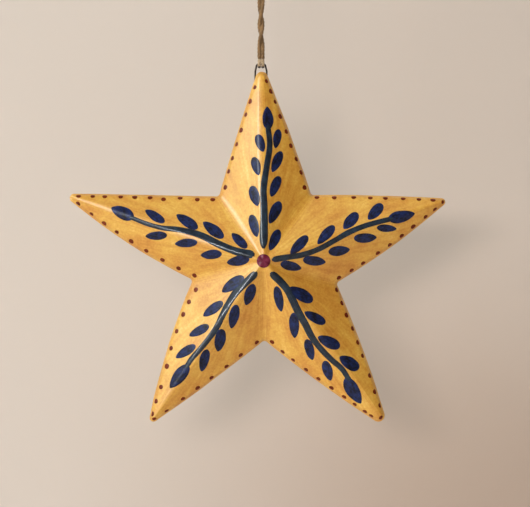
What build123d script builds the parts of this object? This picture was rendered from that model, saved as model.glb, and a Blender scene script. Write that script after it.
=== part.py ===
from build123d import *
import math
import os

# Hanging star of two pressed tin halves with a wire loop and a twine, in millimetres and degrees.
# The origin is the point under the knot where a hook carries the twine. The star faces -Y, and +Z is up.

# Star outline seen from the front, anticlockwise from the top arm. Its sharp corners are rounded later.
tip_reach = 98.0
tip_reach_off = (-2.5, 3.5, -1.5, 2.4, -3.9)
tip_lean = (0.7, -0.5, 1.0, 0.6, 0.35)
tip_round = (2.9, 2.1, 1.9, 3.1, 1.8)
notch_reach = 37.5
notch_reach_off = (-0.2, -2.5, 0.3, -1.3, 1.3)
notch_lean = (-1.2, -3.0, 0.5, 1.0, 0.1)
notch_round = 1.8
# How far the two edges of each arm bulge outward: the one after its tip, and the one before the next tip.
bow_after_tip = (0.6, 2.5, 0.8, 1.3, 0.6)
bow_before_tip = (0.1, 2.0, 1.2, 1.7, 0.7)
corner_chords = 6
edge_chords = 4

# Pressed halves
sheet = 0.45
half_depth = 22.0
rim_height = 3.0
edge_round = 2.6
edge_round_bands = 3
facet_bands = 5
ridge_soft = 2.2
valley_soft = 3.0
crown_scale = 0.04
corner_least = 0.1

# Lap seam: the skirt of the back half goes over the rim of the front half.
skirt_reach = 0.8
tuck_reach = 1.2
seam_fit = 0.05
solder_rise = 0.6
solder_feather = 0.06

# Wire loop in the top tip
wire_diameter = 0.85
wire_sides = 8
wire_leg_spacing = 5.45
wire_top_width = 3.9
wire_top_bend = 1.1
wire_neck_height = 3.4
wire_neck_bend = 3.0
wire_over_tip = 4.95
wire_foot_depth = 9.5
wire_foot_bend = 1.0
wire_foot_gap = 1.2
wire_hole_fit = 0.06

# Twine
strand_diameter = 1.6
strand_sides = 8
turn_sides = 12
strand_gap = 0.06
hitch_fit = 0.08
hitch_neck = 0.595
hitch_pinch = 0.06
hitch_overlap = 0.53
hitch_bar_angle = 43.0
hitch_bar_taper = 0.5
legs_length = 32.3
eye_length = 15.0
eye_spread = 3.4
eye_spread_depth = 6.0
bend_share = 0.45
knot_width = 5.4
knot_height = 5.0
knot_tilt = 14.0
knot_leg_offset = 1.0
knot_leg_depth = 1.2
tail_length = 8.0
tail_splay = 24.0

# Where the middle of the star hangs
centre_right_of_twine = 1.25

# Values worked out from the dimensions above
arms = len(tip_round)
arm_step = 360 / arms
half_step = math.radians(arm_step / 2)
edge_length = math.hypot(tip_reach - notch_reach * math.cos(half_step), notch_reach * math.sin(half_step))
edge_distance = tip_reach * notch_reach * math.sin(half_step) / edge_length
tip_half_angle = math.asin(edge_distance / tip_reach)
facet_slope = math.atan((half_depth - rim_height) / (edge_distance * (1 - crown_scale)))
strand_radius = strand_diameter / 2
strand_section = RegularPolygon(strand_radius, strand_sides)
leg_offset = strand_radius + strand_gap / 2
turn_radius = wire_diameter / 2 + hitch_fit + strand_radius
hitch_height = turn_radius + strand_radius + hitch_neck
wire_top = -(eye_length + legs_length + hitch_height)
tip_top = wire_top - wire_over_tip
wire_foot = tip_top - wire_foot_depth
top_tip_reach = tip_reach + tip_reach_off[0] - tip_round[0] * (1 / math.sin(tip_half_angle) - 1)
centre_height = tip_top - top_tip_reach


# Star outline

def polar(angle, reach):
    """A point in the star's plane, at an angle anticlockwise from straight up."""
    return Vector(-reach * math.sin(math.radians(angle)), reach * math.cos(math.radians(angle)))


def star_corners(tip_reaches, notch_reaches):
    """The ten sharp corners, tip and notch in turn."""
    corners = []
    for i in range(arms):
        corners.append(polar(i * arm_step + tip_lean[i], tip_reaches[i]))
        corners.append(polar((i + 0.5) * arm_step + notch_lean[i], notch_reaches[i]))
    return corners


def moved_in(corners, inset):
    """The corners of the same outline with every edge moved inward."""
    moved = []
    for i, corner in enumerate(corners):
        before = (corner - corners[i - 1]).normalized()
        after = (corners[(i + 1) % len(corners)] - corner).normalized()
        inward_before = Vector(-before.Y, before.X)
        inward_after = Vector(-after.Y, after.X)
        step = (inward_before + inward_after) / (1 + inward_before.dot(inward_after))
        moved.append(corner + step * inset)
    return moved


def between(low, high, share):
    """The value a share of the way from one value to another."""
    return low + (high - low) * share


def corner_curve(corner, back, ahead, radius, softness):
    """A corner's rounding as points: a circular arc at softness 0, a parabola as wide at softness 1."""
    half_angle = math.radians(back.get_angle(ahead) / 2)
    first = corner + back.normalized() * (radius / math.tan(half_angle))
    last = corner + ahead.normalized() * (radius / math.tan(half_angle))
    pull = between(math.sin(half_angle), 1, softness)
    points = []
    for step in range(corner_chords + 1):
        share = step / corner_chords
        weights = ((1 - share) ** 2, 2 * pull * share * (1 - share), share**2)
        points.append((first * weights[0] + corner * weights[1] + last * weights[2]) / sum(weights))
    return points


def tip_recess(radius, softness):
    """How far a tip's rounding stays behind its sharp corner."""
    sine = math.sin(tip_half_angle)
    return radius * (1 - sine**2) / (sine * (1 + between(sine, 1, softness)))


def rounded_line(corners, bows, radii, softness):
    """The points of a closed line with bulging edges and rounded corners, both in short chords."""
    count = len(corners)
    runs = [corners[(i + 1) % count] - corner for i, corner in enumerate(corners)]
    bulges = [Vector(run.Y, -run.X).normalized() * (4 * bow) for run, bow in zip(runs, bows)]
    arcs = []
    for i, corner in enumerate(corners):
        back = bulges[i - 1] - runs[i - 1]
        arcs.append(corner_curve(corner, back, runs[i] + bulges[i], radii[i], softness))
    points = []
    for i, corner in enumerate(corners):
        points += arcs[i]
        run_square = runs[i].dot(runs[i])
        first = (arcs[i][-1] - corner).dot(runs[i]) / run_square
        last = (arcs[(i + 1) % count][0] - corner).dot(runs[i]) / run_square
        for step in range(1, edge_chords):
            share = between(first, last, step / edge_chords)
            points.append(corner + runs[i] * share + bulges[i] * (share * (1 - share)))
    return points


def level_line(rise, inset, depth):
    """The star's level line, moved inward: the outline at rise 0, the crown in the middle at rise 1."""
    scale = between(1, crown_scale, rise)
    softness = 4 * rise * (1 - rise)
    tip_reaches = []
    bows = []
    radii = []
    for i in range(arms):
        tip_radius = tip_round[i] * scale + ridge_soft * softness
        ridge_lift = tip_recess(tip_radius, softness) - tip_recess(tip_round[i], 0) * scale
        tip_reaches.append((tip_reach + tip_reach_off[i]) * scale + ridge_lift)
        notch_radius = notch_round * scale + valley_soft * softness + inset
        radii += [max(tip_radius - inset, corner_least), notch_radius]
        bows += [bow_after_tip[i] * scale, bow_before_tip[i] * scale]
    notch_reaches = [(notch_reach + off) * scale for off in notch_reach_off]
    corners = moved_in(star_corners(tip_reaches, notch_reaches), inset)
    return [point + Vector(0, 0, depth) for point in rounded_line(corners, bows, radii, softness)]


def solid_between(levels):
    """A solid of flat triangles between level lines in a row, closed at the first and the last."""
    outlines = [levels[0], levels[-1]]
    for here, there in zip(levels, levels[1:]):
        for i in range(len(here)):
            outlines.append([here[i - 1], here[i], there[i]])
            outlines.append([here[i - 1], there[i], there[i - 1]])
    return Solid(Shell([Face(Wire.make_polygon(outline)) for outline in outlines]))


# Pressed halves

def half_levels(inset, low, rim, rounding, crown_inset, top):
    """The level lines of a half star: an upright rim, a rounded edge and the facets up to the crown."""
    levels = [level_line(0, inset, low)]
    wall_top = rim - rounding * math.tan(math.pi / 4 - facet_slope / 2)
    for band in range(edge_round_bands + 1):
        turn = (math.pi / 2 - facet_slope) * band / edge_round_bands
        edge_inset = inset + rounding * (1 - math.cos(turn))
        edge_depth = wall_top + rounding * math.sin(turn)
        levels.append(level_line(0, edge_inset, edge_depth))
    for band in range(1, facet_bands + 1):
        rise = band / facet_bands
        facet_inset = between(edge_inset, crown_inset, rise)
        levels.append(level_line(rise, facet_inset, between(edge_depth, top, rise)))
    return levels


def pressed_half(inset, low):
    """One half of the star as sheet metal, open at the seam."""
    outside = half_levels(inset, low, rim_height, edge_round, 0, half_depth)
    inside = half_levels(
        inset + sheet,
        low,
        rim_height - sheet * math.tan(math.pi / 4 - facet_slope / 2),
        edge_round - sheet,
        sheet * math.tan(facet_slope / 2),
        half_depth - sheet,
    )
    return solid_between(outside[::-1] + inside)


def hung(star_piece):
    """Turns a piece drawn flat on the seam plane to face -Y, and hangs it below the wire loop."""
    return Pos(centre_right_of_twine, 0, centre_height) * Rot(X=90) * star_piece


def wire_holes():
    """The two upright holes in the shoulders of the top tip."""
    length = wire_top - wire_foot
    hole = Cylinder(wire_diameter / 2 + wire_hole_fit, length)
    middle = (wire_top + wire_foot) / 2
    return [Pos(side * wire_leg_spacing / 2, 0, middle) * hole for side in (-1, 1)]


def front_shell():
    return hung(pressed_half(sheet + seam_fit, -tuck_reach)) - wire_holes()


def back_shell():
    return hung(mirror(pressed_half(0, -skirt_reach), about=Plane.XY)) - wire_holes()


def seam_solder():
    """The bead in the corner between the edge of the skirt and the rim of the front half."""
    rim_inset = sheet + seam_fit
    bead_foot = level_line(0, 0, skirt_reach)
    bead_top = level_line(0, rim_inset - solder_feather, skirt_reach + solder_rise)
    rim_foot = level_line(0, rim_inset, 0)
    rim_top = level_line(0, rim_inset, skirt_reach + 2 * solder_rise)
    return hung(solid_between([bead_foot, bead_top]) - solid_between([rim_foot, rim_top]))


# Wire loop

def bar_along(path, section):
    """A bar of one section along a path."""
    start = Plane(origin=path @ 0, z_dir=path % 0)
    return sweep(start * section, path=path)


def hanger_wire():
    """The bent loop, with both feet turned in towards each other inside the tip."""
    leg = wire_leg_spacing / 2
    half = [
        (wire_foot_gap / 2, wire_foot),
        (leg, wire_foot),
        (leg, wire_top - wire_neck_height),
        (wire_top_width / 2, wire_top),
    ]
    points = [(-x, 0, z) for x, z in half] + [(x, 0, z) for x, z in reversed(half)]
    half_bends = [wire_foot_bend, wire_neck_bend, wire_top_bend]
    path = FilletPolyline(*points, radius=half_bends + half_bends[::-1])
    return bar_along(path, RegularPolygon(wire_diameter / 2, wire_sides))


# Twine

def strand_ring(radius):
    """One closed turn of a strand round the Z axis, in straight mitred pieces."""
    corner_reach = radius / math.cos(math.pi / turn_sides)
    corners = [polar(step * 360 / turn_sides, corner_reach) for step in range(turn_sides)]
    join = (corners[0] + corners[-1]) / 2
    path = Polyline(join, *corners, join)
    start = Plane(origin=join, z_dir=corners[0] - join)
    return sweep(start * strand_section, path=path, transition=Transition.RIGHT)


def twine_hitch():
    """The hitch: two turns round the wire, the bar across their front and the two pinched ends going up."""
    bar = extrude(strand_section, leg_offset + strand_radius, both=True)
    bar_faces = bar.faces().sort_by(Axis.Z)
    bar = chamfer(bar_faces[0].edges() + bar_faces[-1].edges(), strand_radius * hitch_bar_taper)
    bar_reach = turn_radius + strand_diameter * (1 - hitch_overlap)
    hitch = Pos(0, 0, wire_top) * Rot(X=-hitch_bar_angle) * Pos(0, -bar_reach, 0) * Rot(Y=90) * bar
    neck = extrude(RegularPolygon(strand_radius - hitch_pinch, strand_sides), hitch_height - turn_radius)
    for side in (-1, 1):
        hitch += Pos(side * leg_offset, 0, wire_top) * Rot(Y=90) * strand_ring(turn_radius)
        hitch += Pos(side * leg_offset, 0, wire_top + turn_radius) * neck
    return hitch


def leg_points(side):
    """The route of one leg, from the hitch up past the eye into the knot."""
    return [
        (side * leg_offset, 0, wire_top + hitch_height),
        (side * leg_offset, 0, -eye_length),
        (side * eye_spread, 0, -eye_spread_depth),
        (side * knot_leg_offset, 0, knot_leg_depth),
    ]


def largest_bends(points):
    """The largest bend that the runs beside each point of a route leave room for."""
    bends = []
    for before, here, after in zip(points, points[1:], points[2:]):
        run_in = Vector(*here) - Vector(*before)
        run_out = Vector(*after) - Vector(*here)
        half_turn = math.radians(run_in.get_angle(run_out) / 2)
        bends.append(bend_share * min(run_in.length, run_out.length) / math.tan(half_turn))
    return bends


def twine_leg(side):
    points = leg_points(side)
    bends = largest_bends(points)
    path = FilletPolyline(*points, radius=bends)
    leg = bar_along(path, strand_section)
    fullness = leg.volume / (strand_section.area * path.length)
    print("twine leg bends", [round(bend, 1) for bend in bends], "length", round(path.length, 1))
    print("twine leg volume over section times length", round(fullness, 4))
    return leg


def twine_knot(legs):
    """The overhand knot with its two tails, with room for the legs that run into it."""
    ring_radius = knot_width / 2 - strand_radius
    core = Cylinder(ring_radius, knot_height - strand_diameter)
    knot = Pos(0, 0, knot_height / 2) * core
    tail = extrude(strand_section, knot_height / 2 + tail_length)
    for side in (-1, 1):
        turn = Pos(0, 0, knot_height / 2 + side * strand_radius) * Rot(Y=side * knot_tilt)
        knot += turn * strand_ring(ring_radius)
        knot += Pos(side * knot_leg_offset, 0, knot_height / 2) * Rot(Y=side * tail_splay) * tail
    return knot - legs


# Export

os.makedirs("parts", exist_ok=True)
leg_left = twine_leg(-1)
leg_right = twine_leg(1)
pieces = {
    "front_shell": front_shell(),
    "back_shell": back_shell(),
    "seam_solder": seam_solder(),
    "hanger_wire": hanger_wire(),
    "twine_hitch": twine_hitch(),
    "twine_leg_left": leg_left,
    "twine_leg_right": leg_right,
    "twine_knot": twine_knot([leg_left, leg_right]),
}
for name, piece in pieces.items():
    export_step(piece, f"parts/{name}.step")
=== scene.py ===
import cmath
import math

import bmesh
import bpy
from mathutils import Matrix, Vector, noise
from mathutils.bvhtree import BVHTree


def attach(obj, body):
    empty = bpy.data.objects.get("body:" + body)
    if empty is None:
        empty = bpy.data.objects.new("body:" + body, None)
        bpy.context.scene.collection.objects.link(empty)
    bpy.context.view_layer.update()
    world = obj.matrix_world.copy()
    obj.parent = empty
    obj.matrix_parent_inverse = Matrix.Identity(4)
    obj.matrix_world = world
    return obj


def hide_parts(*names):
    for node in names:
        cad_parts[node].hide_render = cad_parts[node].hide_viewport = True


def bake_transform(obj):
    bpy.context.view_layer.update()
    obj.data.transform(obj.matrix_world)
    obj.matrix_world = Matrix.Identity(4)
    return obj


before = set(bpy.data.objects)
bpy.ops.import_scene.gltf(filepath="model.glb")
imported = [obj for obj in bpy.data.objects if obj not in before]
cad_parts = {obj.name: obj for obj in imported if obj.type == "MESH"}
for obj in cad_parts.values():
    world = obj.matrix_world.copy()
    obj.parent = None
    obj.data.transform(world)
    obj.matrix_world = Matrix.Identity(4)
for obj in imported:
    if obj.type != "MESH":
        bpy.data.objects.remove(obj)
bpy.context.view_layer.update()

MM = 0.001

# Camera, placed so that a pixel of the photograph is 0.478 mm in the star's plane.
PHOTO_WIDTH = 530
PHOTO_MIDDLE = (265.0, 253.5)
SENSOR = 36.0
LENS = 142.1
CAMERA_PLACE = Vector((1.91, -1000.0, -140.5)) * MM
PIXEL_SLOPE = SENSOR / LENS / PHOTO_WIDTH

# Star outline in millimetres, anticlockwise from the top arm, as in the pressed halves.
ARMS = 5
ARM_ANGLE = 360 / ARMS
ARM_NAMES = ("top", "left", "lower_left", "lower_right", "right")
TIP_REACH = (95.5, 101.5, 96.5, 100.4, 94.1)
TIP_LEAN = (0.7, -0.5, 1.0, 0.6, 0.35)
TIP_ROUND = (2.9, 2.1, 1.9, 3.1, 1.8)
NOTCH_REACH = (37.3, 35.0, 37.8, 36.2, 38.8)
NOTCH_LEAN = (-1.2, -3.0, 0.5, 1.0, 0.1)
NOTCH_ROUND = 1.8
BOWS = ((0.6, 0.1), (2.5, 2.0), (0.8, 1.2), (1.3, 1.7), (0.6, 0.7))
STAR_CENTRE = 1.25 - 143.97j
TIP_HALF_ANGLE = math.radians(18.04)
FACET_SLOPE = math.radians(33.1)
SHEET = 0.45
HALF_DEPTH = 22.0
RIM_HEIGHT = 3.0
EDGE_ROUND = 2.6
RIDGE_SOFT = 2.2
VALLEY_SOFT = 3.0
CROWN_SCALE = 0.04
CORNER_LEAST = 0.1
SKIRT_REACH = 0.8
TUCK_REACH = 1.2
SEAM_FIT = 0.05
CORNER_STEPS = 20
EDGE_STEPS = 18
EDGE_BANDS = 6
FACET_BANDS = 26

# Unevenness of hand work in millimetres: how far it goes, and over what span it comes and goes
SWAY = 0.15
SWAY_SPAN = 14
DENT = 0.14
DENT_SPAN = 24
DENT_FADE = 4
RIPPLE = 0.045
RIPPLE_SPAN = 8
LUMP_SHARE = 0.35
LUMP_SPAN = 5

# Wire loop and twine in millimetres
WIRE_SIDES = 16
WIRE_DIAMETER = 0.85
WIRE_TOP = -50.0
WIRE_ROUTE = ((0.6, -64.45), (2.725, -64.45), (2.725, -53.4), (1.95, -50.0))
WIRE_BENDS = (1.0, 3.0, 1.1)
STRAND = 1.6
LEG_ROUTE = ((0.83, -47.3), (0.83, -24.4), (0.83, -15.0), (3.4, -6.0), (1.0, 1.2))
LINE_SPACING = 0.22
TWIST_LOW = -42.0
TWIST_HIGH = -20.5
TWIST_EASE = 0.35
PLIES = 3
PLY_SIDES = 9
PLY_PITCH = 5.2
PLY_FULLNESS = 1.06
PLY_WOBBLE = 0.12
PLY_WOBBLE_SPAN = 1.3
LOOSE_LAY = 1.16
FIBRE_COUNT = 30
FIBRE_RADIUS = 0.03
FIBRE_SIDES = 5
FIBRE_STEPS = 4
# Where a fibre leaves its strand, and its least and further reach, as shares of the strand's diameter
FIBRE_ROOT = 0.36
FIBRE_LEAST = 0.35
FIBRE_FURTHER = 0.3
# The painted shade on the hitch, dark where the strand passes under the wire: how far under the wire's top it ends,
# and over what height it fades
PAINTED_SHADE_DROP = 0.95
PAINTED_SHADE_FADE = 0.6


# Small helpers

def linear(red, green, blue):
    """A colour from its values in the photograph, for a shader."""
    return (*[((value / 255 + 0.055) / 1.055) ** 2.4 for value in (red, green, blue)], 1)


def between(low, high, share):
    return low + (high - low) * share


def unit(step):
    return step / abs(step)


def evenly(points, spacing):
    """Points at an even spacing along a line of points."""
    lengths = [0.0]
    for here, there in zip(points, points[1:]):
        lengths.append(lengths[-1] + (there - here).length)
    count = max(2, round(lengths[-1] / spacing))
    made = []
    place = 0
    for step in range(count + 1):
        wanted = lengths[-1] * step / count
        while place < len(points) - 2 and lengths[place + 1] < wanted:
            place += 1
        run = lengths[place + 1] - lengths[place]
        share = (wanted - lengths[place]) / run if run else 0
        made.append(points[place].lerp(points[place + 1], min(share, 1)))
    return made


def smooth_line(points, steps):
    """A line through all the points, without corners."""
    ends = [points[0] * 2 - points[1], *points, points[-1] * 2 - points[-2]]
    line = []
    for a, b, c, d in zip(ends, ends[1:], ends[2:], ends[3:]):
        for step in range(steps):
            t = step / steps
            square = (a * 2 - b * 5 + c * 4 - d) * t**2
            cube = (b * 3 - a - c * 3 + d) * t**3
            line.append((b * 2 + (c - a) * t + square + cube) / 2)
    return line + [points[-1]]


# Meshes made of closed bodies, each a row of rings

# A face wraps round the end of the paint coordinates where they differ by more than the jump. Its corners under the
# low value then go past the end.
WRAP_JUMP = 0.6
WRAP_LOW = 0.3


def ring_bodies(name, bodies, material, closed=False):
    """One object of bodies made of rings of points, capped on both ends or closed from the last to the first."""
    points = []
    faces = []
    marks = []
    for rings in bodies:
        rows = len(rings)
        count = len(rings[0])
        first = len(points)
        for row, ring in enumerate(rings):
            points += ring
            marks += [(i / count, row / rows) for i in range(count)]
        for row in range(rows if closed else rows - 1):
            low = first + row * count
            high = first + (row + 1) % rows * count
            for i in range(count):
                j = (i + 1) % count
                faces.append((low + i, low + j, high + j, high + i))
        if not closed:
            for row in (0, rows - 1):
                low = first + row * count
                faces += [(low + i, low + (i + 1) % count, len(points)) for i in range(count)]
                points.append(sum(rings[row], Vector()) / count)
                marks.append((0.5, row / rows))
    mesh = bpy.data.meshes.new(name)
    mesh.from_pydata(points, [], faces)
    shape = bmesh.new()
    shape.from_mesh(mesh)
    bmesh.ops.recalc_face_normals(shape, faces=shape.faces)
    shape.to_mesh(mesh)
    shape.free()
    mesh.shade_smooth()
    layer = mesh.uv_layers.new(name="paint")
    for face in mesh.polygons:
        corners = [marks[v] for v in face.vertices]
        wraps = max(u for u, v in corners) - min(u for u, v in corners) > WRAP_JUMP
        for loop, (u, v) in zip(face.loop_indices, corners):
            layer.data[loop].uv = (u + 1 if wraps and u < WRAP_LOW else u, v)
    mesh.materials.append(material)
    made = bpy.data.objects.new(name, mesh)
    bpy.context.scene.collection.objects.link(made)
    return made


# Materials

def new_material(name, **values):
    """A material with values on its shader's sockets, its node tree and its shader."""
    made = bpy.data.materials.new(name)
    made.use_nodes = True
    shader = made.node_tree.nodes["Principled BSDF"]
    for key, value in values.items():
        shader.inputs[key.replace("_", " ")].default_value = value
    return made, made.node_tree, shader


def add(tree, kind, inputs, **settings):
    """A node with its settings, its values and its links."""
    node = tree.nodes.new(kind)
    for key, value in settings.items():
        setattr(node, key, value)
    for key, value in inputs.items():
        if isinstance(value, bpy.types.NodeSocket):
            tree.links.new(value, node.inputs[key])
        else:
            node.inputs[key].default_value = value
    return node


def coordinates(tree, source, stretch):
    """Texture coordinates, stretched by three factors."""
    place = add(tree, "ShaderNodeTexCoord", {})
    return add(tree, "ShaderNodeMapping", {"Vector": place.outputs[source], "Scale": stretch}).outputs["Vector"]


def noise_value(tree, source, stretch, detail=4.0, roughness=0.6):
    """Cloudy noise between 0 and 1."""
    inputs = {"Vector": coordinates(tree, source, stretch), "Scale": 1.0, "Detail": detail, "Roughness": roughness}
    return add(tree, "ShaderNodeTexNoise", inputs).outputs["Fac"]


def weighed(tree, a, b, share):
    """A mix of two values."""
    first = add(tree, "ShaderNodeMath", {0: a, 1: 1 - share}, operation="MULTIPLY").outputs[0]
    return add(tree, "ShaderNodeMath", {0: b, 1: share, 2: first}, operation="MULTIPLY_ADD").outputs[0]


def ramp(tree, value, stops):
    """Colours along a value, from (place, colour) stops."""
    node = add(tree, "ShaderNodeValToRGB", {"Fac": value})
    marks = node.color_ramp.elements
    while len(marks) < len(stops):
        marks.new(0.5)
    for mark, (place, colour) in zip(marks, stops):
        mark.position = place
        mark.color = colour
    return node.outputs["Color"]


def bump(tree, shader, height, strength, distance):
    """Small relief from a value."""
    inputs = {"Height": height, "Strength": strength, "Distance": distance}
    tree.links.new(add(tree, "ShaderNodeBump", inputs).outputs["Normal"], shader.inputs["Normal"])


def star_paint():
    """Ochre gloss brushed on by hand, thicker in places, with streaks towards the middle of the star."""
    made, tree, shader = new_material(
        "ochre_paint",
        Roughness=0.55,
        Specular_IOR_Level=0.55,
        Coat_Weight=0.4,
        Coat_Roughness=0.26,
    )
    clouds = noise_value(tree, "Object", stretch=(70, 70, 70))
    streaks = noise_value(tree, "UV", stretch=(170, 5, 1), detail=3.0)
    grain = noise_value(tree, "Object", stretch=(900, 900, 900), detail=2.0)
    brushed = weighed(tree, clouds, streaks, share=0.5)
    tone = weighed(tree, brushed, grain, share=0.25)
    stops = [
        (0.34, linear(187, 121, 34)),
        (0.46, linear(206, 149, 53)),
        (0.56, linear(218, 170, 68)),
        (0.68, linear(232, 197, 104)),
    ]
    tree.links.new(ramp(tree, tone, stops), shader.inputs["Base Color"])
    bump(tree, shader, weighed(tree, streaks, grain, share=0.35), strength=0.22, distance=0.3 * MM)
    return made


def thick_paint(name, dark, light, gloss, blur):
    """One dab of a second colour, uneven where the brush left more or less of it."""
    made, tree, shader = new_material(
        name,
        Roughness=0.4,
        Specular_IOR_Level=0.12,
        Coat_Weight=gloss,
        Coat_Roughness=blur,
    )
    clouds = noise_value(tree, "Object", stretch=(330, 330, 330), detail=3.0)
    strokes = noise_value(tree, "UV", stretch=(9, 5, 1), detail=2.0)
    tone = weighed(tree, clouds, strokes, share=0.4)
    tree.links.new(ramp(tree, tone, [(0.38, dark), (0.64, light)]), shader.inputs["Base Color"])
    bump(tree, shader, tone, strength=0.25, distance=0.3 * MM)
    return made


def wire_steel():
    """Dark annealed wire with a dull sheen."""
    made, tree, shader = new_material("dark_wire", Roughness=0.5, Metallic=0.4, Specular_IOR_Level=0.3)
    spots = noise_value(tree, "Object", stretch=(1500, 1500, 500), detail=3.0)
    tones = [(0.35, linear(26, 17, 13)), (0.65, linear(52, 38, 31))]
    tree.links.new(ramp(tree, spots, tones), shader.inputs["Base Color"])
    bump(tree, shader, spots, strength=0.15, distance=0.1 * MM)
    return made


def soft_step(tree, value, low, high):
    """A value's smooth rise from 0 to 1 between two places."""
    step = add(tree, "ShaderNodeMapRange", {"Value": value, 1: low, 2: high}, interpolation_type="SMOOTHSTEP")
    return step.outputs[0]


def jute(name, stops, unshaded_from=None):
    """Natural jute with fibres along the strand, with painted shade that darkens it below a height if one is given.
    """
    made, tree, shader = new_material(name, Roughness=0.85, Sheen_Weight=0.25, Sheen_Roughness=0.5)
    fibres = noise_value(tree, "UV", stretch=(26, 60, 1), detail=4.0, roughness=0.7)
    patches = noise_value(tree, "Object", stretch=(260, 260, 260), detail=3.0)
    tone = weighed(tree, fibres, patches, share=0.35)
    if unshaded_from:
        place = add(tree, "ShaderNodeTexCoord", {}).outputs["Object"]
        height = add(tree, "ShaderNodeSeparateXYZ", {"Vector": place}).outputs["Z"]
        # Painted shade: the strand goes dark below a height, for the shaded underside of the hitch under the wire's
        # top
        unshaded = soft_step(tree, height, unshaded_from - PAINTED_SHADE_FADE * MM, unshaded_from)
        tone = add(tree, "ShaderNodeMath", {0: tone, 1: unshaded}, operation="MULTIPLY").outputs[0]
    tree.links.new(ramp(tree, tone, stops), shader.inputs["Base Color"])
    bump(tree, shader, fibres, strength=0.6, distance=0.2 * MM)
    return made


OCHRE = star_paint()
LEAF_BLUE = thick_paint("leaf_navy", linear(23, 23, 35), linear(33, 49, 102), gloss=0.15, blur=0.2)
STEM_BLUE = thick_paint("stem_slate_navy", linear(27, 32, 43), linear(44, 60, 77), gloss=0.3, blur=0.16)
DOT_RED = thick_paint("dot_brick_red", linear(90, 28, 8), linear(122, 50, 20), gloss=0.1, blur=0.25)
CENTRE_RED = thick_paint("centre_maroon", linear(84, 22, 44), linear(120, 40, 68), gloss=0.1, blur=0.25)
WIRE = wire_steel()
JUTE = jute("jute_strand", [(0.32, linear(68, 48, 24)), (0.66, linear(162, 126, 78))])
# The hitch's jute is a paler copy of the twine's as painted light on its lit turns, and goes dark brown where it has
# painted shade below the wire's top
HITCH_LIT_SHADED_TONES = [(0.1, linear(40, 28, 24)), (0.36, linear(112, 88, 62)), (0.62, linear(212, 190, 158))]
HITCH_JUTE_PAINTED_LIGHT_SHADE = jute("jute_hitch_painted_light_shade", HITCH_LIT_SHADED_TONES, (WIRE_TOP - PAINTED_SHADE_DROP) * MM)


# Star shape

def polar(angle, reach):
    """A point at an angle anticlockwise from straight up."""
    return reach * 1j * cmath.exp(1j * math.radians(angle))


def moved_in(corners, inset):
    """The corners of the same outline with every edge moved inward."""
    moved = []
    for i, corner in enumerate(corners):
        before = unit(corner - corners[i - 1]) * 1j
        after = unit(corners[(i + 1) % len(corners)] - corner) * 1j
        moved.append(corner + (before + after) * inset / (1 + (before * after.conjugate()).real))
    return moved


def corner_curve(corner, back, ahead, radius, softness=0):
    """A corner's rounding as points: a circular arc at softness 0, a parabola as wide at softness 1."""
    half = abs(cmath.phase(ahead / back)) / 2
    first = corner + unit(back) * radius / math.tan(half)
    last = corner + unit(ahead) * radius / math.tan(half)
    pull = between(math.sin(half), 1, softness)
    points = []
    for step in range(CORNER_STEPS + 1):
        share = step / CORNER_STEPS
        weights = ((1 - share) ** 2, 2 * pull * share * (1 - share), share**2)
        points.append((first * weights[0] + corner * weights[1] + last * weights[2]) / sum(weights))
    return points


def tip_recess(radius, softness):
    """How far a tip's rounding stays behind its sharp corner."""
    sine = math.sin(TIP_HALF_ANGLE)
    return radius * (1 - sine**2) / (sine * (1 + between(sine, 1, softness)))


def rounded_line(corners, bows, radii, softness):
    """The points of a closed line with bulging edges and rounded corners."""
    count = len(corners)
    runs = [corners[(i + 1) % count] - corner for i, corner in enumerate(corners)]
    bulges = [-1j * unit(run) * 4 * bow for run, bow in zip(runs, bows)]
    arcs = []
    for i, corner in enumerate(corners):
        arcs.append(corner_curve(corner, bulges[i - 1] - runs[i - 1], runs[i] + bulges[i], radii[i], softness))
    points = []
    for i, corner in enumerate(corners):
        points += arcs[i]
        first = ((arcs[i][-1] - corner) / runs[i]).real
        last = ((arcs[(i + 1) % count][0] - corner) / runs[i]).real
        for step in range(1, EDGE_STEPS):
            share = between(first, last, step / EDGE_STEPS)
            points.append(corner + runs[i] * share + bulges[i] * share * (1 - share))
    return points


def level_line(rise, inset):
    """The star's level line, moved inward: the outline at rise 0, the crown in the middle at rise 1."""
    scale = between(1, CROWN_SCALE, rise)
    softness = 4 * rise * (1 - rise)
    corners = []
    bows = []
    radii = []
    for i in range(ARMS):
        tip_radius = TIP_ROUND[i] * scale + RIDGE_SOFT * softness
        lift = tip_recess(tip_radius, softness) - tip_recess(TIP_ROUND[i], 0) * scale
        corners.append(polar(i * ARM_ANGLE + TIP_LEAN[i], TIP_REACH[i] * scale + lift))
        corners.append(polar((i + 0.5) * ARM_ANGLE + NOTCH_LEAN[i], NOTCH_REACH[i] * scale))
        bows += [bow * scale for bow in BOWS[i]]
        radii.append(max(tip_radius - inset, CORNER_LEAST))
        radii.append(NOTCH_ROUND * scale + VALLEY_SOFT * softness + inset)
    return rounded_line(moved_in(corners, inset), bows, radii, softness)


def half_levels(inset, low, rim, rounding, crown_inset, top):
    """The level lines of a half star with their depths."""
    levels = [(level_line(0, inset), low)]
    wall_top = rim - rounding * math.tan(math.pi / 4 - FACET_SLOPE / 2)
    for band in range(EDGE_BANDS + 1):
        turn = (math.pi / 2 - FACET_SLOPE) * band / EDGE_BANDS
        edge_inset = inset + rounding * (1 - math.cos(turn))
        edge_depth = wall_top + rounding * math.sin(turn)
        levels.append((level_line(0, edge_inset), edge_depth))
    for band in range(1, FACET_BANDS + 1):
        rise = band / FACET_BANDS
        line = level_line(rise, between(edge_inset, crown_inset, rise))
        levels.append((line, between(edge_depth, top, rise)))
    return levels


def wander(point, span, seed):
    """A smooth random value over the star, between -1 and 1."""
    return noise.noise((point.real / span, point.imag / span, seed))


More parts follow.
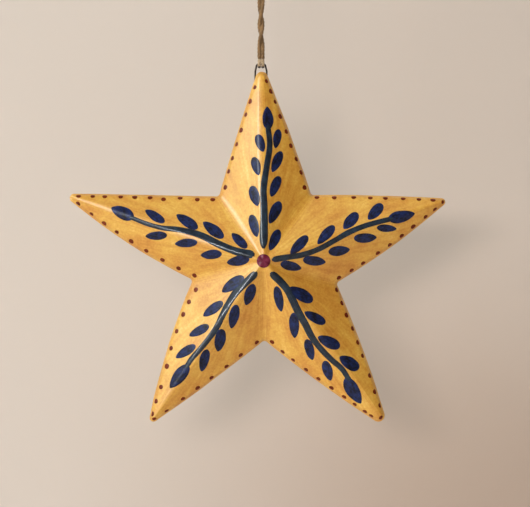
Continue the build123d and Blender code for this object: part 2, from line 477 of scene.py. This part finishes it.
def placed(point, depth, facing):
    """A point of the star in the row frame, with the small unevenness of hand pressing."""
    shift = complex(wander(point, SWAY_SPAN, 3), wander(point, SWAY_SPAN, 9))
    dent = DENT * wander(point, DENT_SPAN, 20 + facing)
    dent += RIPPLE * wander(point, RIPPLE_SPAN, 30 + facing)
    dent *= min(max(depth - RIM_HEIGHT, 0) / DENT_FADE, 1)
    spot = STAR_CENTRE + point + SWAY * shift
    return Vector((spot.real, facing * (depth + dent), spot.imag)) * MM


def half_star(name, facing, inset, low):
    """One pressed half as a closed sheet."""
    outside = half_levels(inset, low, RIM_HEIGHT, EDGE_ROUND, 0, HALF_DEPTH)
    inside = half_levels(
        inset + SHEET,
        low,
        RIM_HEIGHT - SHEET * math.tan(math.pi / 4 - FACET_SLOPE / 2),
        EDGE_ROUND - SHEET,
        SHEET * math.tan(FACET_SLOPE / 2),
        HALF_DEPTH - SHEET,
    )
    rings = [[placed(point, depth, facing) for point in line] for line, depth in outside[::-1] + inside]
    return ring_bodies(name, [rings], OCHRE)


# The solder bead's cross-section as inset and depth, in millimetres
SOLDER_PROFILE = ((0.03, 0.8), (0.1, 1.06), (0.26, 1.28), (0.5, 1.42), (0.62, 1.2), (0.62, 0.8))


def solder_bead():
    """The painted bead in the corner of the lap, a little uneven."""
    rings = []
    for inset, depth in SOLDER_PROFILE:
        ring = []
        for point in level_line(0, inset):
            lump = 1 + LUMP_SHARE * wander(point, LUMP_SPAN, 50)
            ring.append(placed(point, SKIRT_REACH + (depth - SKIRT_REACH) * lump, -1))
        rings.append(ring)
    return ring_bodies("solder_bead", [rings], OCHRE, closed=True)


def on_body(made, body, slot, *nodes):
    """Puts a finished piece on its body and hides the CAD nodes that it stands for. The slot is not used."""
    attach(made, body)
    if nodes:
        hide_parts(*nodes)
    return made


front = half_star("front_half", -1, SHEET + SEAM_FIT, -TUCK_REACH)
back = half_star("back_half", 1, 0, -SKIRT_REACH)
solder = solder_bead()
on_body(front, "star", "star_paint", "front_shell")
on_body(back, "star", "star_paint", "back_shell")
on_body(solder, "star", "star_paint", "seam_solder")
front_points = [v.co for v in front.data.vertices]
front_faces = [tuple(f.vertices) for f in front.data.polygons]
front_tree = BVHTree.FromPolygons(front_points, front_faces)


# Painted sprigs and dots, as thin dabs on the front half

PAINT_SUNK = -0.06
LEAF_POINTS = 40
# Each ring of a leaf as its share of the outline and its height in millimetres
LEAF_RINGS = (
    (1.0, PAINT_SUNK),
    (1.0, 0.04),
    (0.94, 0.09),
    (0.82, 0.12),
    (0.64, 0.14),
    (0.44, 0.15),
    (0.24, 0.15),
    (0.06, 0.15),
)
# How the width grows from the base and closes at the end, for leaves with a round or a pointed end and for buds
ROUND_LEAF = (0.64, 0.48)
POINTED_LEAF = (0.5, 0.64)
BUD = (0.55, 0.75)
LEAF_WOBBLE = 0.08
LEAF_WOBBLE_REACH = 1.5
LEAF_FULLNESS = 1.07
LEAF_SEEDS = 20
STEM_INTO_BUD = 4.0
STEM_STEPS = 8
STEM_END_POINTS = 3
STEM_END_CLOSE = 0.92
STEM_WOBBLE = 0.07
STEM_WOBBLES = 9
# A stem's cross-section as its share of half the width and its height in millimetres
STEM_SECTION = (
    (-1.0, PAINT_SUNK),
    (-1.0, 0.03),
    (-0.85, 0.1),
    (-0.45, 0.15),
    (0.0, 0.17),
    (0.45, 0.15),
    (0.85, 0.1),
    (1.0, 0.03),
    (1.0, PAINT_SUNK),
    (0.0, PAINT_SUNK),
)


def sight(pixel):
    """The direction from the camera through a point of the photograph."""
    x = (pixel.real - PHOTO_MIDDLE[0]) * PIXEL_SLOPE
    z = (PHOTO_MIDDLE[1] - pixel.imag) * PIXEL_SLOPE
    return Vector((x, 1, z)).normalized()


def above_star(pixel, height):
    """The point at a height above the front half that the photograph shows at a pixel."""
    spot, normal, _, _ = front_tree.ray_cast(CAMERA_PLACE, sight(pixel))
    return spot + normal * (height * MM * (-1 if normal.y > 0 else 1))


def leaf(base, tip, width, powers, seed):
    """One leaf as rings of points, from its rim to its middle."""
    base = complex(*base)
    axis = complex(*tip) - base
    widest = powers[0] / sum(powers)
    middle = base + axis * widest
    outline = []
    for step in range(LEAF_POINTS):
        turn = 2 * math.pi * step / LEAF_POINTS
        along = (1 - math.cos(turn)) / 2
        across = (along / widest) ** powers[0] * ((1 - along) / (1 - widest)) ** powers[1]
        around = (math.cos(turn) * LEAF_WOBBLE_REACH, math.sin(turn) * LEAF_WOBBLE_REACH, seed)
        across *= LEAF_FULLNESS + LEAF_WOBBLE * noise.noise(around)
        outline.append(base + axis * along + 1j * unit(axis) * math.copysign(across, math.sin(turn)) * width / 2)
    rings = []
    for share, height in LEAF_RINGS:
        rings.append([above_star(middle + (spot - middle) * share, height) for spot in outline])
    return rings


def stem(route, widths, seed):
    """A stem as rings of points along its route and into the bud, with rounded ends."""
    spots = [Vector(spot) for spot in route]
    spots.append(spots[-1] + (spots[-1] - spots[-2]).normalized() * STEM_INTO_BUD)
    line = smooth_line(spots, STEM_STEPS)
    rings = []
    for i, spot in enumerate(line):
        share = i / (len(line) - 1)
        step = line[min(i + 1, len(line) - 1)] - line[max(i - 1, 0)]
        side = 1j * unit(complex(step.x, step.y))
        place = share * (len(widths) - 1)
        low = min(int(place), len(widths) - 2)
        width = between(widths[low], widths[low + 1], place - low)
        near_end = min(share, 1 - share) * len(line) / STEM_END_POINTS
        width *= math.sqrt(1 - (1 - min(near_end, 1)) ** 2 * STEM_END_CLOSE)
        width *= 1 + STEM_WOBBLE * noise.noise((share * STEM_WOBBLES, seed, 0))
        middle = complex(spot.x, spot.y)
        ring = [above_star(middle + side * across * width / 2, height) for across, height in STEM_SECTION]
        rings.append(ring)
    return rings


# Dots, in millimetres. Each ring has its share of the radius and its height.
DOT_RADIUS = 1.2
DOT_SPREAD = 0.2
DOT_POINTS = 18
DOT_WOBBLE = 0.1
DOT_SEEDS = 20
DOT_RINGS = ((1.0, PAINT_SUNK), (1.0, 0.03), (0.9, 0.07), (0.6, 0.1), (0.06, 0.1))
# A dot moves towards its arm's ridge by steps in pixels, leaning to the star's centre, until it faces the camera.
DOT_FACING = 0.58
DOT_STEP = 0.4
DOT_LEAN = 8.0


def dab(centre, radius, seed):
    """A round dot on the star, from its rim to its middle."""
    spot, normal, _, _ = front_tree.find_nearest(centre)
    side = normal.orthogonal().normalized()
    other = normal.cross(side)
    rings = []
    for share, height in DOT_RINGS:
        ring = []
        for step in range(DOT_POINTS):
            turn = 2 * math.pi * step / DOT_POINTS
            wobble = 1 + DOT_WOBBLE * noise.noise((math.cos(turn), math.sin(turn), seed))
            reach = (side * math.cos(turn) + other * math.sin(turn)) * (radius * wobble * share * MM)
            found, facing, _, _ = front_tree.find_nearest(spot + reach)
            ring.append(found + facing * (height * MM))
        rings.append(ring)
    return rings


# Each sprig: its stem's route and widths, then its bud and leaves as base, tip and width, all in pixels.
SPRIGS = {
    "top": (
        ((263.5, 248.6), (264.1, 215), (263.6, 189.2), (266.6, 166.9), (269.7, 146.1), (268.2, 128.9)),
        (8.6, 6.6, 5.8, 5),
        (
            ((268.4, 129.7), (267.1, 106.5), 10.2),
            ((263.3, 151.8), (257.4, 134.5), 8.7),
            ((258.7, 175.2), (253.6, 157.1), 8.4),
            ((257.6, 206), (251.8, 185.9), 9.4),
            ((257, 237), (251.4, 214.6), 9),
            ((275.4, 148.3), (278.6, 129.2), 7.6),
            ((272.4, 172.1), (281.2, 151.3), 8.8),
            ((271.1, 196.7), (279.2, 176.2), 9.1),
            ((269.6, 223.5), (279.9, 201.4), 10),
            ((269.8, 250.3), (279, 229.6), 9.3),
        ),
    ),
    "left": (
        (
            (254.6, 255), (238, 251.9), (220.2, 244.9), (200.3, 235.1), (180.4, 229.9), (161.8, 227.8),
            (146.2, 223.6), (133, 218.3),
        ),
        (8.6, 7, 4.6, 4),
        (
            ((133.7, 217.8), (111.2, 207.7), 12.2),
            ((164.5, 222.2), (145.2, 210.1), 8.3),
            ((197.7, 228.4), (176.4, 214.7), 9.5),
            ((223.4, 237.7), (203.1, 222), 10),
            ((246.8, 247.9), (231.8, 233.3), 8.5),
            ((167.1, 235.2), (145.4, 236.2), 8),
            ((197.3, 242.3), (174.9, 243.9), 8.3),
            ((221.8, 253.7), (200.6, 255.3), 8.7),
            ((249.3, 259), (226.8, 262.7), 9.5),
        ),
    ),
    "lower_left": (
        (
            (257, 272.1), (244.9, 283.4), (235.9, 292.4), (228.2, 304.2), (222.4, 315.4), (216.4, 327.8),
            (207.5, 340.3), (199.9, 349.4), (192.1, 358.2), (187.7, 364.8),
        ),
        (7.8, 6, 4.7),
        (
            ((188.5, 364.9), (169.9, 388.1), 11.8),
            ((243.7, 276.6), (222.1, 291.8), 10.6),
            ((222.8, 301.9), (203.3, 316.1), 9),
            ((208.8, 325.4), (189.4, 335.9), 8.5),
            ((195.4, 345.2), (175.9, 357.8), 8.4),
            ((253.6, 284), (245.8, 305.1), 9.8),
            ((236.6, 304.7), (231.2, 328.4), 9.5),
            ((222.1, 329), (217.8, 351.4), 10.6),
            ((207.1, 349.3), (201.4, 371.5), 9.2),
        ),
    ),
    "lower_right": (
        (
            (270.6, 272.5), (280.4, 281.6), (287.7, 290.4), (293, 300.8), (298.3, 312), (305.3, 324.1),
            (311.7, 336.6), (320.4, 348.2), (331.3, 359.5), (341.5, 368.4), (347.5, 377.2),
        ),
        (7.5, 7.7, 6, 4.7),
        (
            ((345.2, 378.1), (361.1, 403.6), 12.8),
            ((289.4, 287.5), (312.6, 301.4), 11.4),
            ((304.4, 312.1), (325.3, 323.2), 9.5),
            ((317.8, 336.9), (339.8, 347.2), 11),
            ((339.6, 356.8), (358.8, 369), 11.6),
            ((276.2, 286.3), (281.4, 311.6), 8.7),
            ((293.6, 312.6), (294.8, 338.1), 9.5),
            ((306.6, 339.2), (312.6, 360.1), 8.7),
            ((324.5, 360.8), (330.8, 380.6), 9.1),
        ),
    ),
    "right": (
        (
            (271.8, 259.8), (286.9, 257.3), (303.7, 254.5), (319.1, 248.9), (334.7, 240.4), (349.9, 231.9),
            (367.5, 225), (389, 219.4),
        ),
        (6.4, 5.4, 5.6, 4.7),
        (
            ((388.1, 219.3), (414.9, 213.5), 11.5),
            ((290.4, 254.2), (307.6, 236), 9.5),
            ((317.6, 243.9), (334.3, 225.8), 9.2),
            ((343.6, 228.8), (357.7, 213), 10.3),
            ((368.2, 219.4), (382.4, 204.1), 10.2),
            ((280.4, 263.6), (301.4, 268.5), 8.8),
            ((303, 259.7), (325.7, 262.1), 9.1),
            ((328.4, 252.1), (349.9, 249.5), 9.2),
            ((353.9, 238.5), (376.7, 237.3), 9),
            ((376.8, 227.6), (396.6, 228.9), 7),
        ),
    ),
}

# How many of each sprig's leaves, straight after its bud, have round ends. The others end in a point.
ROUND_LEAVES = {"top": 9, "left": 0, "lower_left": 0, "lower_right": 4, "right": 4}

# The edge dots of each arm in pixels, each row from its notch to the tip.
EDGE_DOTS = {
    "top": (
        (225.2, 187.3), (228.4, 171.3), (231.8, 158.1), (236, 144.1), (240, 129.9), (244.5, 114.1), (248.8, 100.9),
        (254, 86.8), (304.6, 187.6), (301.3, 172.3), (296.5, 159), (291, 145.7), (286.5, 131.5), (280.5, 116.3),
        (276, 101.2), (271.6, 90.2), (266.6, 81.1),
    ),
    "left": (
        (212.7, 199.5), (197.3, 199.5), (180.2, 197.9), (163.5, 199.3), (150.1, 197.5), (134.8, 197), (120.7, 196.7),
        (104.5, 195.7), (92, 195.2), (76.7, 195.2), (194.5, 275.4), (178.6, 268.4), (162.4, 260), (146.3, 250.8),
        (131.1, 241.4), (116.7, 232.2), (104, 223.6), (91.4, 214.1), (78.1, 203.8),
    ),
    "lower_left": (
        (195.9, 289.7), (189, 301.9), (183.2, 314.4), (176.6, 331.2), (171, 348.1), (166.8, 366.2), (160.9, 387),
        (155.9, 401.2), (152.3, 413.9), (256.9, 342.6), (240.9, 355.3), (226.6, 366.5), (211.6, 377.9),
        (197.8, 388.1), (183.1, 398.9), (166.9, 411.4), (154.1, 419.3),
    ),
    "lower_right": (
        (271.9, 342.1), (282.4, 352), (292.9, 360.2), (305.4, 370.4), (317.6, 380), (330.2, 389.8), (343.1, 398.9),
        (354.2, 406.9), (365.6, 414), (373, 417.9), (336.8, 289.8), (342.1, 303), (346.7, 315), (353.2, 328.3),
        (358.3, 342.1), (363.1, 355.6), (369.9, 375.5), (375.6, 391.6), (379.9, 405.4), (381.1, 417.8),
    ),
    "right": (
        (316.9, 196.8), (334.2, 197.4), (353.7, 196.8), (370.3, 196.5), (385.5, 197.2), (403.1, 198.5),
        (419.1, 198.4), (433.5, 198.8), (443.7, 201.5), (339, 277.9), (351.7, 270.5), (363.4, 263.7),
        (377.9, 253.3), (389.9, 245), (401.9, 236), (413.4, 226.7), (425.7, 217), (435.5, 209.6),
    ),
}

# The centre dot: its middle and radius in pixels, and its rings as for the edge dots
CENTRE_DOT = (263.6, 261.0)
CENTRE_DOT_PIXELS = 6.9
CENTRE_DOT_POINTS = 36
CENTRE_RINGS = (
    (1.0, PAINT_SUNK),
    (1.0, 0.04),
    (0.94, 0.12),
    (0.8, 0.18),
    (0.6, 0.22),
    (0.35, 0.22),
    (0.06, 0.22),
)


def faces_camera(pixel):
    """Whether a pixel shows the front half, and not the turned-down side of its edge."""
    _, normal, _, _ = front_tree.ray_cast(CAMERA_PLACE, sight(pixel))
    return normal is not None and abs(normal.y) > DOT_FACING


def edge_dots(arm, seed):
    """The dots of one arm, each moved towards the arm's ridge where its pixel is off the front half's face."""
    centre = complex(*CENTRE_DOT)
    _, _, (bud, *_) = SPRIGS[arm]
    ridge = unit(complex(*bud[1]) - centre)
    dots = []
    for number, pixel in enumerate(EDGE_DOTS[arm]):
        place = complex(*pixel)
        along = ((place - centre) / ridge).real
        inward = unit(centre + ridge * (along - DOT_LEAN) - place) * DOT_STEP
        while not faces_camera(place):
            place += inward
        radius = DOT_RADIUS * (1 + DOT_SPREAD * noise.noise((number * 0.9, seed, 15)))
        dots.append(dab(above_star(place, 0), radius, seed * DOT_SEEDS + number))
    return dots


def leaf_powers(arm, place):
    """The form of a sprig's leaf by its place: the bud first, then round-ended leaves, then pointed ones."""
    if place == 0:
        return BUD
    return ROUND_LEAF if place <= ROUND_LEAVES[arm] else POINTED_LEAF


for number, arm in enumerate(ARM_NAMES):
    route, widths, leaves = SPRIGS[arm]
    on_body(ring_bodies(f"stem_{arm}", [stem(route, widths, number)], STEM_BLUE), "star", "star_paint")
    blades = []
    for i, (base, tip, width) in enumerate(leaves):
        blades.append(leaf(base, tip, width, leaf_powers(arm, i), number * LEAF_SEEDS + i))
    on_body(ring_bodies(f"leaves_{arm}", blades, LEAF_BLUE), "star", "star_paint")
    on_body(ring_bodies(f"edge_dots_{arm}", edge_dots(arm, number * 3), DOT_RED), "star", "star_paint")
centre_rings = []
for share, height in CENTRE_RINGS:
    turns = [2 * math.pi * step / CENTRE_DOT_POINTS for step in range(CENTRE_DOT_POINTS)]
    spots = [complex(*CENTRE_DOT) + cmath.rect(CENTRE_DOT_PIXELS * share, turn) for turn in turns]
    centre_rings.append([above_star(spot, height) for spot in spots])
on_body(ring_bodies("centre_dot", [centre_rings], CENTRE_RED), "star", "star_paint")


# Wire loop and twine

def frames(points, start):
    """Each point of a line with two directions square to the line, which don't turn about it."""
    made = []
    side = start
    for i, point in enumerate(points):
        ahead = (points[min(i + 1, len(points) - 1)] - points[max(i - 1, 0)]).normalized()
        side = (side - ahead * side.dot(ahead)).normalized()
        made.append((point, side, ahead.cross(side)))
    return made


def tube(points, radius, sides, start=Vector((0, 1, 0))):
    """A round bar along a line, as rings of points. The radius is one value or one for each point."""
    rings = []
    for i, (point, side, other) in enumerate(frames(points, start)):
        reach = radius[i] if isinstance(radius, list) else radius
        turns = [2 * math.pi * step / sides for step in range(sides)]
        rings.append([point + (side * math.cos(turn) + other * math.sin(turn)) * reach for turn in turns])
    return rings


def laid_strand(points, diameter, seed, start=Vector((0, 1, 0))):
    """A cord of twisted plies along a line, as bodies."""
    ply_radius = diameter / 2 / (1 + 2 / math.sqrt(3))
    offset = diameter / 2 - ply_radius
    spacing = (points[1] - points[0]).length
    bodies = []
    for ply in range(PLIES):
        line = []
        reaches = []
        for i, (point, side, other) in enumerate(frames(points, start)):
            turn = 2 * math.pi * (ply / PLIES + i * spacing / (PLY_PITCH * MM))
            line.append(point + (side * math.cos(turn) + other * math.sin(turn)) * offset)
            wobble = noise.noise((i * spacing / MM / PLY_WOBBLE_SPAN, ply * 7, seed))
            reaches.append(ply_radius * (PLY_FULLNESS + PLY_WOBBLE * wobble))
        bodies.append(tube(line, reaches, PLY_SIDES, start))
    return bodies


def stray_fibres(points, diameter, count, seed):
    """Short loose fibres that stand off a cord."""
    bodies = []
    for number in range(count):
        place = 2 + int((len(points) - 6) * (number + 0.5 + 0.4 * noise.noise((number * 1.7, seed, 2))) / count)
        angle = 2 * math.pi * noise.noise((number * 2.3, seed, 4)) * 2
        out = Vector((math.cos(angle), math.sin(angle), 0))
        along = (points[place + 2] - points[place]).normalized()
        root = points[place] + out * (diameter * FIBRE_ROOT)
        reach = diameter * (FIBRE_LEAST + FIBRE_FURTHER * abs(noise.noise((number * 3.1, seed, 6))))
        bend = root + out * (reach * 0.5) + along * reach * 0.5
        end = root + out * reach * 0.7 + along * reach * 1.5
        line = smooth_line([root, bend, end], FIBRE_STEPS)
        bodies.append(tube(line, FIBRE_RADIUS * MM, FIBRE_SIDES, along.cross(out)))
    return bodies


def spline_points(name, route):
    """Points along a smooth curve that is drawn towards the points of a route."""
    curve = bpy.data.curves.new(name, "CURVE")
    curve.dimensions = "3D"
    curve.resolution_u = 40
    spline = curve.splines.new("NURBS")
    spline.points.add(len(route) - 1)
    for point, spot in zip(spline.points, route):
        point.co = (*spot, 1)
    spline.order_u = 3
    spline.use_endpoint_u = True
    helper = bpy.data.objects.new(name, curve)
    line = bpy.data.meshes.new_from_object(helper)
    points = [v.co.copy() for v in line.vertices]
    bpy.data.objects.remove(helper)
    bpy.data.meshes.remove(line)
    bpy.data.curves.remove(curve)
    return points


def bent_line(route, bends):
    """Straight runs with an arc at each inner point of a flat route."""
    line = [route[0]]
    for before, here, after, radius in zip(route, route[1:], route[2:], bends):
        back = unit(before - here)
        ahead = unit(after - here)
        line += corner_curve(here, back, ahead, radius)
    return line + [route[-1]]


half_wire = [complex(*spot) for spot in WIRE_ROUTE]
wire_route = [complex(-spot.real, spot.imag) for spot in half_wire] + half_wire[::-1]
wire_bends = WIRE_BENDS + WIRE_BENDS[::-1]
wire_line = [Vector((spot.real, 0, spot.imag)) * MM for spot in bent_line(wire_route, wire_bends)]
wire = ring_bodies("wire_loop", [tube(wire_line, WIRE_DIAMETER / 2 * MM, WIRE_SIDES)], WIRE)
on_body(wire, "star", "wire", "hanger_wire")


def twisted(point):
    """A point of a leg, turned with the pair where the two legs wind round each other."""
    share = min(max((point.z / MM - TWIST_LOW) / (TWIST_HIGH - TWIST_LOW), 0), 1)
    eased = share * share * (3 - 2 * share)
    turn = 2 * math.pi * (eased * TWIST_EASE + share * (1 - TWIST_EASE))
    return Vector((point.x * math.cos(turn), point.x * math.sin(turn), point.z))


for word, side in (("left", -1), ("right", 1)):
    route = [Vector((side * x, 0, z)) * MM for x, z in LEG_ROUTE]
    line = evenly([twisted(point) for point in spline_points(f"route_{word}", route)], LINE_SPACING * MM)
    laid = STRAND * LOOSE_LAY * MM
    bodies = laid_strand(line, laid, side) + stray_fibres(line, laid, FIBRE_COUNT, side)
    leg = ring_bodies(f"twine_{word}", bodies, JUTE)
    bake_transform(leg)
    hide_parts(f"twine_leg_{word}")

# The hitch as one strand, from the wire's top upward, forward and across, in millimetres
HITCH_HALF = (
    (0.83, 0.0, 2.7),
    (0.85, 0.55, 1.9),
    (0.86, 1.1, 0.85),
    (0.86, 1.3, -0.15),
    (0.86, 0.9, -0.98),
    (0.86, 0.0, -1.31),
    (0.86, -0.9, -0.98),
    (0.86, -1.32, -0.1),
    (0.82, -1.42, 0.8),
    (0.5, -1.5, 1.5),
)
HITCH_MIDDLE = (0.0, -1.55, 1.72)
HITCH_STEPS = 10
HITCH_SPACING = 0.2
HITCH_SEED = 3
hitch_route = [*HITCH_HALF, HITCH_MIDDLE, *[(-x, y, z) for x, y, z in HITCH_HALF[::-1]]]
hitch_spots = [Vector((x, y, WIRE_TOP + z)) * MM for x, y, z in hitch_route]
hitch_line = evenly(smooth_line(hitch_spots, HITCH_STEPS), HITCH_SPACING * MM)
hitch = ring_bodies("hitch", laid_strand(hitch_line, STRAND * MM, HITCH_SEED, Vector((1, 0, 0))), HITCH_JUTE_PAINTED_LIGHT_SHADE)
on_body(hitch, "hitch", "twine", "twine_hitch")

# The knot: two tilted turns and two tails, in millimetres
KNOT_RADIUS = 1.9
KNOT_MIDDLE = 2.5
KNOT_APART = 0.8
KNOT_TILT = 0.25
KNOT_STEPS = 60
KNOT_SEED = 11
TAIL_SPLAY = math.radians(24)
TAIL_LENGTH = 10.5
TAIL_START = 1.0
TAIL_DROP = 1.3
TAIL_SWAY = 0.5
TAIL_WAVE = 3
TAIL_STEPS = 40
TAIL_SEED = 17
knot_bodies = []
for side in (-1, 1):
    turn_line = []
    for step in range(KNOT_STEPS + 1):
        turn = 2 * math.pi * step / KNOT_STEPS
        height = KNOT_MIDDLE + side * KNOT_APART - side * KNOT_TILT * KNOT_RADIUS * math.cos(turn)
        turn_line.append(Vector((KNOT_RADIUS * math.cos(turn), KNOT_RADIUS * math.sin(turn), height)) * MM)
    knot_bodies += laid_strand(turn_line, STRAND * MM, KNOT_SEED + side, Vector((0, 0, 1)))
    tail = []
    for step in range(TAIL_STEPS + 1):
        share = step / TAIL_STEPS
        out = math.sin(TAIL_SPLAY) * TAIL_LENGTH * share
        sway = TAIL_SWAY * math.sin(share * TAIL_WAVE + side)
        rise = (math.cos(TAIL_SPLAY) * TAIL_LENGTH + TAIL_DROP) * share
        tail.append(Vector((side * (TAIL_START + out), sway * share, KNOT_MIDDLE - TAIL_DROP + rise)) * MM)
    knot_bodies += laid_strand(evenly(tail, LINE_SPACING * MM), STRAND * MM, TAIL_SEED + side)
knot = ring_bodies("knot", knot_bodies, JUTE)
on_body(knot, "twine", "twine", "twine_knot")


# Wall, floor, light and camera, in metres

WALL_PLACE = 0.2
FLOOR_PLACE = -0.3
ROOM = 3.0
SQUARE = ((-1, -1), (1, -1), (1, 1), (-1, 1))
# Between which places the surfaces darken with painted shade, and how much of it is by height
PAINTED_SHADE_DOWN = (-0.1, -0.29)
PAINTED_SHADE_RIGHT = (-0.15, 0.12)
PAINTED_SHADE_DOWN_SHARE = 0.8


def one_sided(name, light, dark, roughness, glow):
    """A plain surface seen from its front only, with painted shade that darkens it softly to the lower right, that
    may glow to the camera.
    """
    made, tree, shader = new_material(name, Roughness=roughness)
    place = add(tree, "ShaderNodeTexCoord", {}).outputs["Object"]
    parts = add(tree, "ShaderNodeSeparateXYZ", {"Vector": place}).outputs
    down = soft_step(tree, parts["Z"], *PAINTED_SHADE_DOWN)
    right = soft_step(tree, parts["X"], *PAINTED_SHADE_RIGHT)
    both = weighed(tree, right, down, PAINTED_SHADE_DOWN_SHARE)
    shade = add(tree, "ShaderNodeMath", {0: both, 1: right}, operation="MULTIPLY").outputs[0]
    tree.links.new(ramp(tree, shade, [(0.0, light), (1.0, dark)]), shader.inputs["Base Color"])
    camera_ray = add(tree, "ShaderNodeLightPath", {}).outputs["Is Camera Ray"]
    glow_share = add(tree, "ShaderNodeMath", {0: camera_ray, 1: glow}, operation="MULTIPLY").outputs[0]
    even = add(tree, "ShaderNodeEmission", {"Color": light}).outputs[0]
    shown = add(tree, "ShaderNodeMixShader", {0: glow_share, 1: shader.outputs[0], 2: even}).outputs[0]
    facing = add(tree, "ShaderNodeNewGeometry", {}).outputs["Backfacing"]
    clear = add(tree, "ShaderNodeBsdfTransparent", {}).outputs[0]
    mixed = add(tree, "ShaderNodeMixShader", {0: facing, 1: shown, 2: clear}).outputs[0]
    tree.links.new(mixed, tree.nodes["Material Output"].inputs["Surface"])
    return made


def sheet_of(name, corners, material):
    """A flat four-cornered surface of the stage."""
    mesh = bpy.data.meshes.new(name)
    mesh.from_pydata(corners, [], [(0, 1, 2, 3)])
    mesh.materials.append(material)
    made = bpy.data.objects.new(name, mesh)
    bpy.context.scene.collection.objects.link(made)
    made.visible_shadow = False
    return made


# The darker colour of the wall and of the floor is painted shade towards the lower right
wall_paint = one_sided("wall_beige", linear(209, 201, 197), linear(183, 167, 157), roughness=0.9, glow=0.0)
floor_paint = one_sided("floor_pale", linear(222, 212, 202), linear(218, 207, 196), roughness=0.8, glow=0.6)
sheet_of("wall", [(x * ROOM, WALL_PLACE, z * ROOM) for x, z in SQUARE], wall_paint)
sheet_of("floor", [(x * ROOM, y * ROOM, FLOOR_PLACE) for x, y in SQUARE], floor_paint)

LIGHT_AIM = (0.0, 0.0, -0.14)


def soft_light(name, place, size, power, colour):
    """A square soft light that points at the star."""
    lamp = bpy.data.lights.new(name, "AREA")
    lamp.size = size
    lamp.energy = power
    lamp.color = colour
    made = bpy.data.objects.new(name, lamp)
    bpy.context.scene.collection.objects.link(made)
    made.location = place
    made.rotation_euler = (Vector(LIGHT_AIM) - Vector(place)).to_track_quat("-Z", "Y").to_euler()
    return made


soft_light("key_light", place=(-2.05, -1.4, 1.1), size=0.9, power=53, colour=(0.94, 1.0, 0.95))
top_light = soft_light("top_light", place=(0.1, -0.62, 1.25), size=0.5, power=3.6, colour=(1.0, 0.98, 0.92))
top_light.visible_glossy = False
near_light = soft_light("near_light", place=(-0.14, -1.07, -0.07), size=0.2, power=4.4, colour=(1.0, 0.86, 0.74))
near_light.data.shape = "RECTANGLE"
near_light.data.size_y = 0.08
near_light.visible_glossy = False
# Small lights that show only as gloss, one for the crest of each arm that has a streak in the photograph
GLOSS_LIGHTS = (
    ("top", (-0.66, -0.71, 0.25), 2.2),
    ("left", (-0.41, -0.93, -0.04), 4.0),
    ("low", (-0.68, -0.77, -0.14), 5.0),
)
for word, place, power in GLOSS_LIGHTS:
    gloss_light = soft_light(f"gloss_light_{word}", place, size=0.1, power=power, colour=(0.95, 0.98, 1.0))
    gloss_light.visible_diffuse = False
soft_light("back_light", place=(0.5, 1.4, 0.5), size=0.8, power=14, colour=(1.0, 0.97, 0.94))
world = bpy.data.worlds.new("studio")
bpy.context.scene.world = world
world.use_nodes = True
air = world.node_tree
glow = air.nodes["Background"]
glow.inputs["Color"].default_value = (1.0, 0.76, 0.54, 1)
glow.inputs["Strength"].default_value = 0.06
backdrop = add(air, "ShaderNodeBackground", {"Color": linear(216, 205, 194), "Strength": 1.0})
camera_ray = add(air, "ShaderNodeLightPath", {}).outputs["Is Camera Ray"]
seen = add(air, "ShaderNodeMixShader", {0: camera_ray, 1: glow.outputs[0], 2: backdrop.outputs[0]}).outputs[0]
air.links.new(seen, air.nodes["World Output"].inputs["Surface"])

lens = bpy.data.cameras.new("photo_camera")
lens.sensor_width = SENSOR
lens.lens = LENS
camera = bpy.data.objects.new("photo_camera", lens)
camera.location = CAMERA_PLACE
camera.rotation_euler = (math.pi / 2, 0, 0)
bpy.context.scene.collection.objects.link(camera)
bpy.context.scene.camera = camera
bpy.context.scene.view_settings.view_transform = "Standard"
